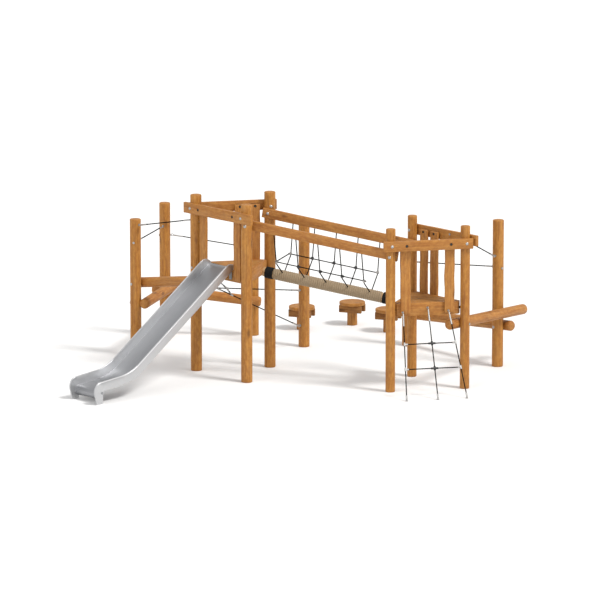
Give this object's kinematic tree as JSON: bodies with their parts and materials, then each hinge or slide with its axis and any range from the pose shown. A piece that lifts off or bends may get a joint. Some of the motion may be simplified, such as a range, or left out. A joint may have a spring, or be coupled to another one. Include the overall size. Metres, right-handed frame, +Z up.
{
  "type": "climbing frame",
  "caption": "Timber climbing frame: two triangular towers, swinging log bridge between handrail beams, steel slide, rope ladder, balance logs, ropes and stools.",
  "frame": {"origin": "centre of the foot of the front post of the taller tower, on the ground", "axes": "+X along the rope ladder side of the lower tower, towards its right post; +Y away from the ladder side, towards the stools; +Z up"},
  "size_m": [6.4194, 5.1174, 2.375],
  "materials": {
    "post_timber": "oiled",
    "board_timber": "oiled",
    "deck_timber": "worn",
    "dark_timber": "rough sawn",
    "log_timber": "oiled",
    "stool_timber": "oiled",
    "bare_log": "bare",
    "winding_cord": "laid cord",
    "black_rubber": "matte",
    "black_rope": "laid rope",
    "bright_fittings": "satin",
    "dark_fixings": "satin",
    "slide_steel": "brushed"
  },
  "bodies": {
    "root": {"tower_a_post_left": "post_timber", "tower_a_post_front": "post_timber", "tower_a_post_right": "post_timber", "tower_b_post_left": "post_timber", "tower_b_post_right": "post_timber", "tower_b_post_back": "post_timber", "west_post_near": "post_timber", "west_post_far": "post_timber", "north_post_near": "post_timber", "north_post_far": "post_timber", "east_post_near": "post_timber", "east_post_far": "post_timber", "tower_a_deck_boards": "deck_timber", "tower_a_deck_ring": "board_timber", "tower_a_joists": "dark_timber", "tower_b_deck_boards": "deck_timber", "tower_b_deck_ring": "board_timber", "tower_b_joists": "dark_timber", "deck_tie_rods": "dark_fixings", "slide_rail": "board_timber", "tower_a_back_rail": "board_timber", "ladder_rail": "board_timber", "tower_b_back_rail": "board_timber", "tower_a_planks": "board_timber", "tower_b_planks": "board_timber", "plank_spacers": "dark_timber", "plank_bolts": "dark_fixings", "frame_bolts": "bright_fittings", "bridge_beam_front": "board_timber", "bridge_beam_back": "board_timber", "balance_log_1": "log_timber", "balance_log_2": "log_timber", "balance_log_3": "log_timber", "balance_log_4": "log_timber", "balance_log_5": "log_timber", "balance_log_bolts": "bright_fittings", "handrail_ropes": "black_rope", "handrail_fittings": "bright_fittings", "net_ropes": "black_rope", "net_fittings": "bright_fittings", "ladder_ropes": "black_rope", "ladder_fittings": "bright_fittings", "slide_bed": "slide_steel", "slide_side_left": "slide_steel", "slide_side_right": "slide_steel", "slide_fixings": "slide_steel", "stool_seats": "stool_timber", "stool_cleats": "dark_timber", "stool_posts": "stool_timber"},
    "swing_ropes_1": {"rope_pair_1": "black_rope"},
    "swing_ropes_2": {"rope_pair_2": "black_rope"},
    "swing_ropes_3": {"rope_pair_3": "black_rope"},
    "swing_ropes_4": {"rope_pair_4": "black_rope"},
    "swing_ropes_5": {"rope_pair_5": "black_rope"},
    "swing_log": {"log_core": "bare_log", "log_winding": "winding_cord", "log_buffers": "black_rubber"},
    "side_lines": {"side_ropes": "black_rope", "side_rope_clamps": "bright_fittings"}
  },
  "joints": [
    {"name": "swing_3", "type": "hinge", "parent": "root", "child": "swing_ropes_3", "pos_m": [1.07272, -0.04199, 1.89358], "axis": [0.5, 0.866, 0], "range_deg": [-6.5, 6.5]},
    {"name": "swing_1", "type": "hinge", "parent": "root", "child": "swing_ropes_1", "pos_m": [0.55311, 0.25801, 1.98495], "axis": [0.5, 0.866, 0], "range_deg": [-6.5, 6.5]},
    {"name": "swing_2", "type": "hinge", "parent": "root", "child": "swing_ropes_2", "pos_m": [0.81292, 0.10801, 1.93927], "axis": [0.5, 0.866, 0], "range_deg": [-6.5, 6.5]},
    {"name": "swing_4", "type": "hinge", "parent": "root", "child": "swing_ropes_4", "pos_m": [1.33253, -0.19199, 1.8479], "axis": [0.5, 0.866, 0], "range_deg": [-6.5, 6.5]},
    {"name": "swing_5", "type": "hinge", "parent": "root", "child": "swing_ropes_5", "pos_m": [1.59234, -0.34199, 1.80221], "axis": [0.5, 0.866, 0], "range_deg": [-6.5, 6.5]},
    {"name": "log_level", "type": "hinge", "parent": "swing_ropes_3", "child": "swing_log", "pos_m": [1.07272, -0.04199, 1.31133], "axis": [0.5, 0.866, 0], "range_deg": [-6.5, 6.5]},
    {"name": "side_line_level", "type": "hinge", "parent": "swing_ropes_3", "child": "side_lines", "pos_m": [1.07272, -0.04199, 1.50258], "axis": [0.5, 0.866, 0], "range_deg": [-6.5, 6.5]}
  ],
  "couplings": [
    {"joint": "swing_1", "follows": "swing_3", "ratio": 1},
    {"joint": "swing_2", "follows": "swing_3", "ratio": 1},
    {"joint": "swing_4", "follows": "swing_3", "ratio": 1},
    {"joint": "swing_5", "follows": "swing_3", "ratio": 1},
    {"joint": "log_level", "follows": "swing_3", "ratio": -1},
    {"joint": "side_line_level", "follows": "swing_3", "ratio": -1}
  ]
}
